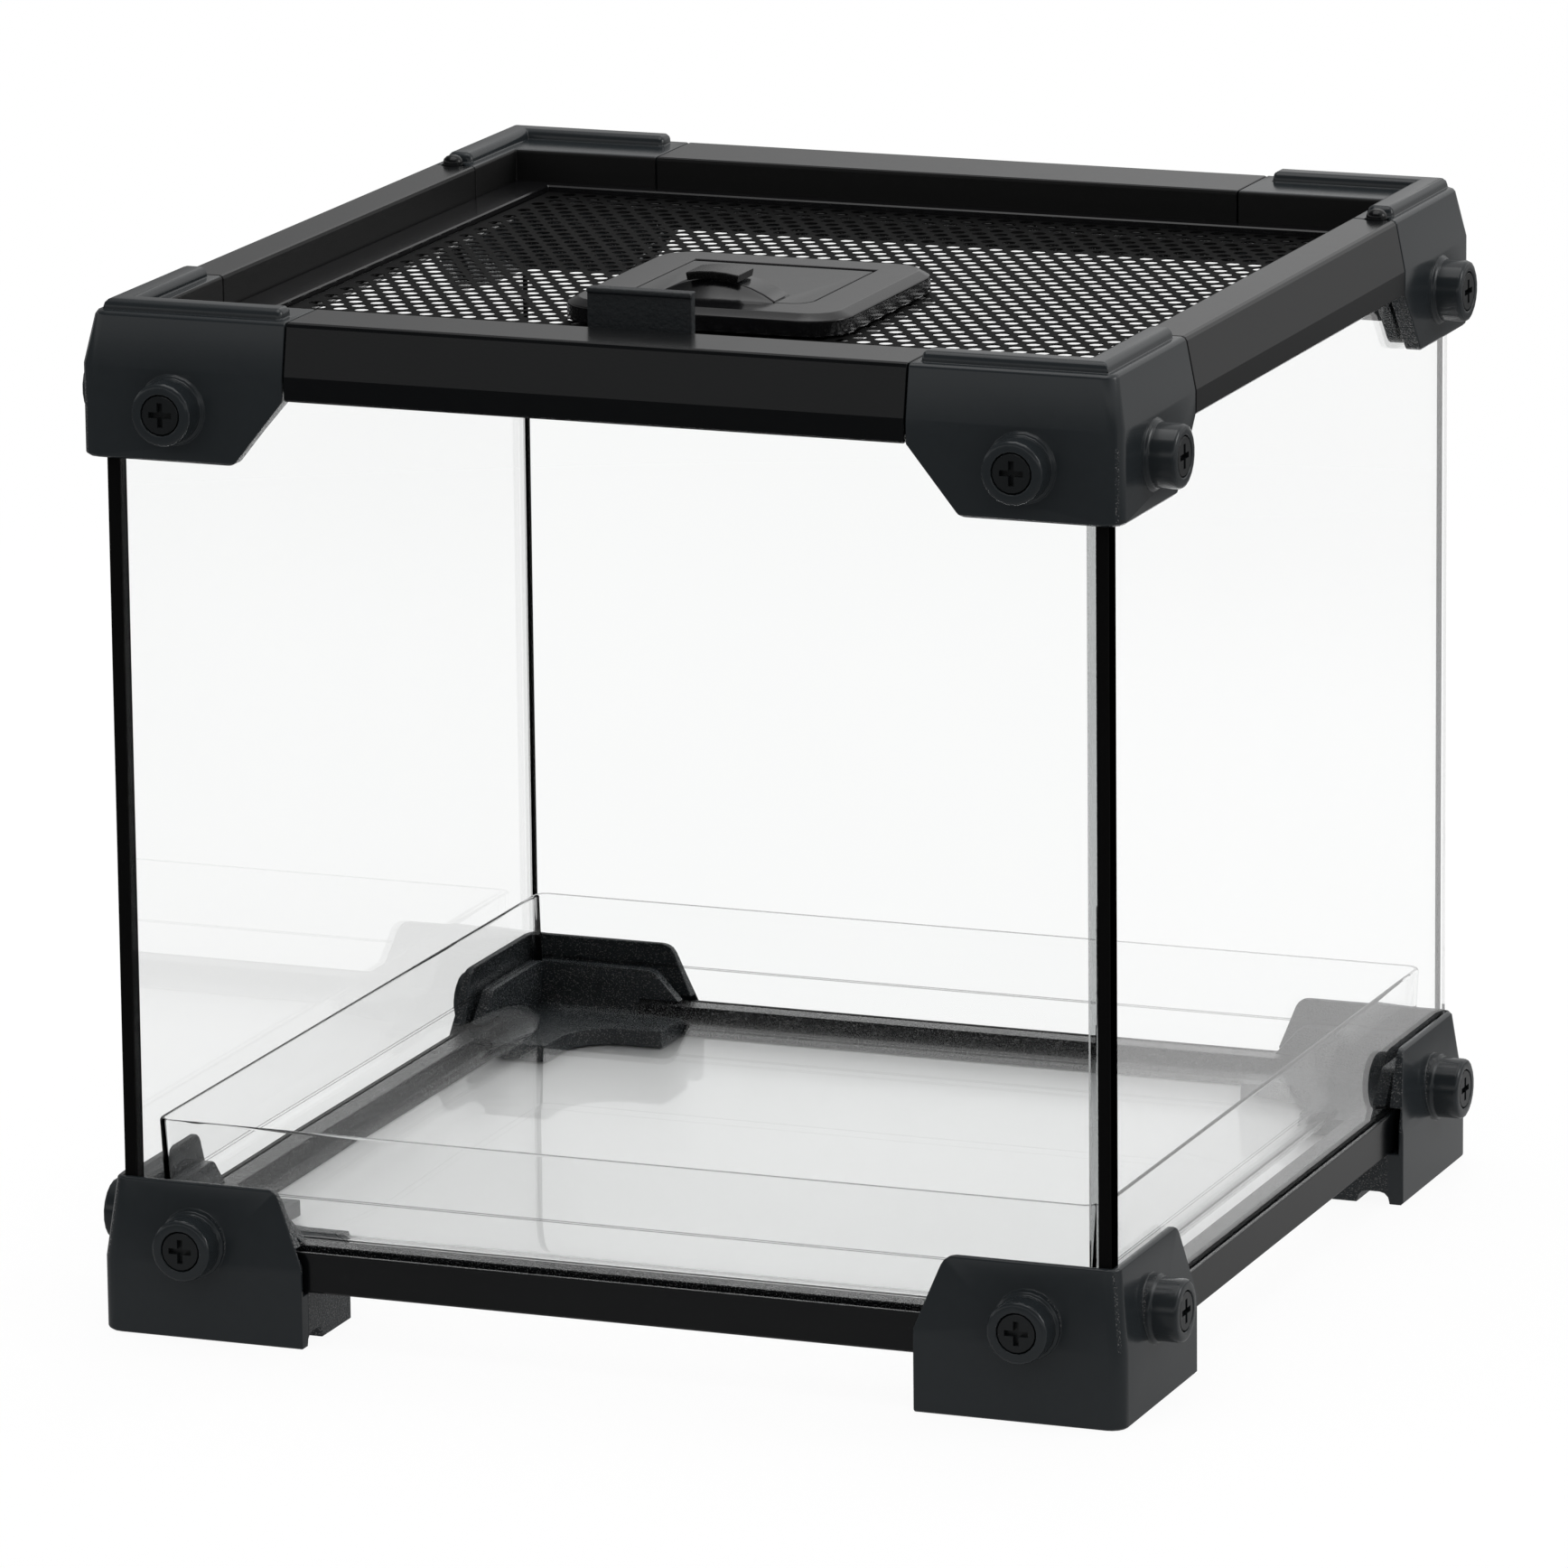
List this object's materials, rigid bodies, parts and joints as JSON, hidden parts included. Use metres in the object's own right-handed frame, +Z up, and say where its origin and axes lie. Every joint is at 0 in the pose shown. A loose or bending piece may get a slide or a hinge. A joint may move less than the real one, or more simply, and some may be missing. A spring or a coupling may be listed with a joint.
{
  "type": "glass terrarium",
  "caption": "Square glass terrarium with black corner caps and feet, a clear floor tray, a hinged mesh lid and a small feeding hatch in the lid.",
  "frame": {"origin": "on the floor, under the middle of the tank", "axes": "+Z up, the front with the pull tab faces -Y, +X to the right seen from the front"},
  "size_m": [0.216, 0.216, 0.2017],
  "materials": {
    "cap_plastic": "satin blue-black moulded plastic",
    "rail_plastic": "satin black extruded plastic",
    "screw_plastic": "satin black plastic",
    "grained_plastic": "black plastic with a fine grain",
    "glass": "clear float glass",
    "clear_plastic": "clear moulded plastic",
    "seal": "black sealing strip",
    "black_mesh": "matt black coated fine mesh",
    "grip_rubber": "matt black ribbed grip",
    "pin_steel": "plain steel pin"
  },
  "bodies": {
    "tank": {"top_rail_front": "rail_plastic", "top_rail_right": "rail_plastic", "top_rail_rear": "rail_plastic", "top_rail_left": "rail_plastic", "top_cap_front_right": "cap_plastic", "top_cap_rear_right": "cap_plastic", "top_cap_rear_left": "cap_plastic", "top_cap_front_left": "cap_plastic", "frame_dowel_left": "rail_plastic", "frame_dowel_right": "rail_plastic", "lid_pin_left": "pin_steel", "lid_pin_right": "pin_steel", "foot_front_right": "cap_plastic", "foot_rear_right": "cap_plastic", "foot_rear_left": "cap_plastic", "foot_front_left": "cap_plastic", "bottom_rail_front": "rail_plastic", "bottom_rail_right": "rail_plastic", "bottom_rail_rear": "rail_plastic", "bottom_rail_left": "rail_plastic", "glass_front": "glass", "glass_rear": "glass", "glass_left": "glass", "glass_right": "glass", "glass_floor": "glass", "seal_front_left": "seal", "seal_front_right": "seal", "seal_rear_left": "seal", "seal_rear_right": "seal", "tray": "clear_plastic", "screw_top_front_right_a": "screw_plastic", "screw_top_front_right_b": "screw_plastic", "screw_top_rear_right_a": "screw_plastic", "screw_top_rear_right_b": "screw_plastic", "screw_top_rear_left_a": "screw_plastic", "screw_top_rear_left_b": "screw_plastic", "screw_top_front_left_a": "screw_plastic", "screw_top_front_left_b": "screw_plastic", "screw_base_front_right_a": "screw_plastic", "screw_base_front_right_b": "screw_plastic", "screw_base_rear_right_a": "screw_plastic", "screw_base_rear_right_b": "screw_plastic", "screw_base_rear_left_a": "screw_plastic", "screw_base_rear_left_b": "screw_plastic", "screw_base_front_left_a": "screw_plastic", "screw_base_front_left_b": "screw_plastic"},
    "lid": {"lid_frame": "rail_plastic", "lid_mesh": "black_mesh", "lid_tab": "grained_plastic", "hatch_frame": "rail_plastic", "hatch_clamp": "rail_plastic", "hatch_pin": "pin_steel"},
    "hatch": {"hatch_door": "cap_plastic", "hatch_grip": "grip_rubber"}
  },
  "joints": [
    {"name": "lid_hinge", "type": "hinge", "parent": "tank", "child": "lid", "pos_m": [0, 0.079, 0.1884], "axis": [-1, 0, 0], "range_deg": [0, 95]},
    {"name": "hatch_hinge", "type": "hinge", "parent": "lid", "child": "hatch", "pos_m": [0, -0.0057, 0.1914], "axis": [-1, 0, 0], "range_deg": [0, 95]}
  ]
}
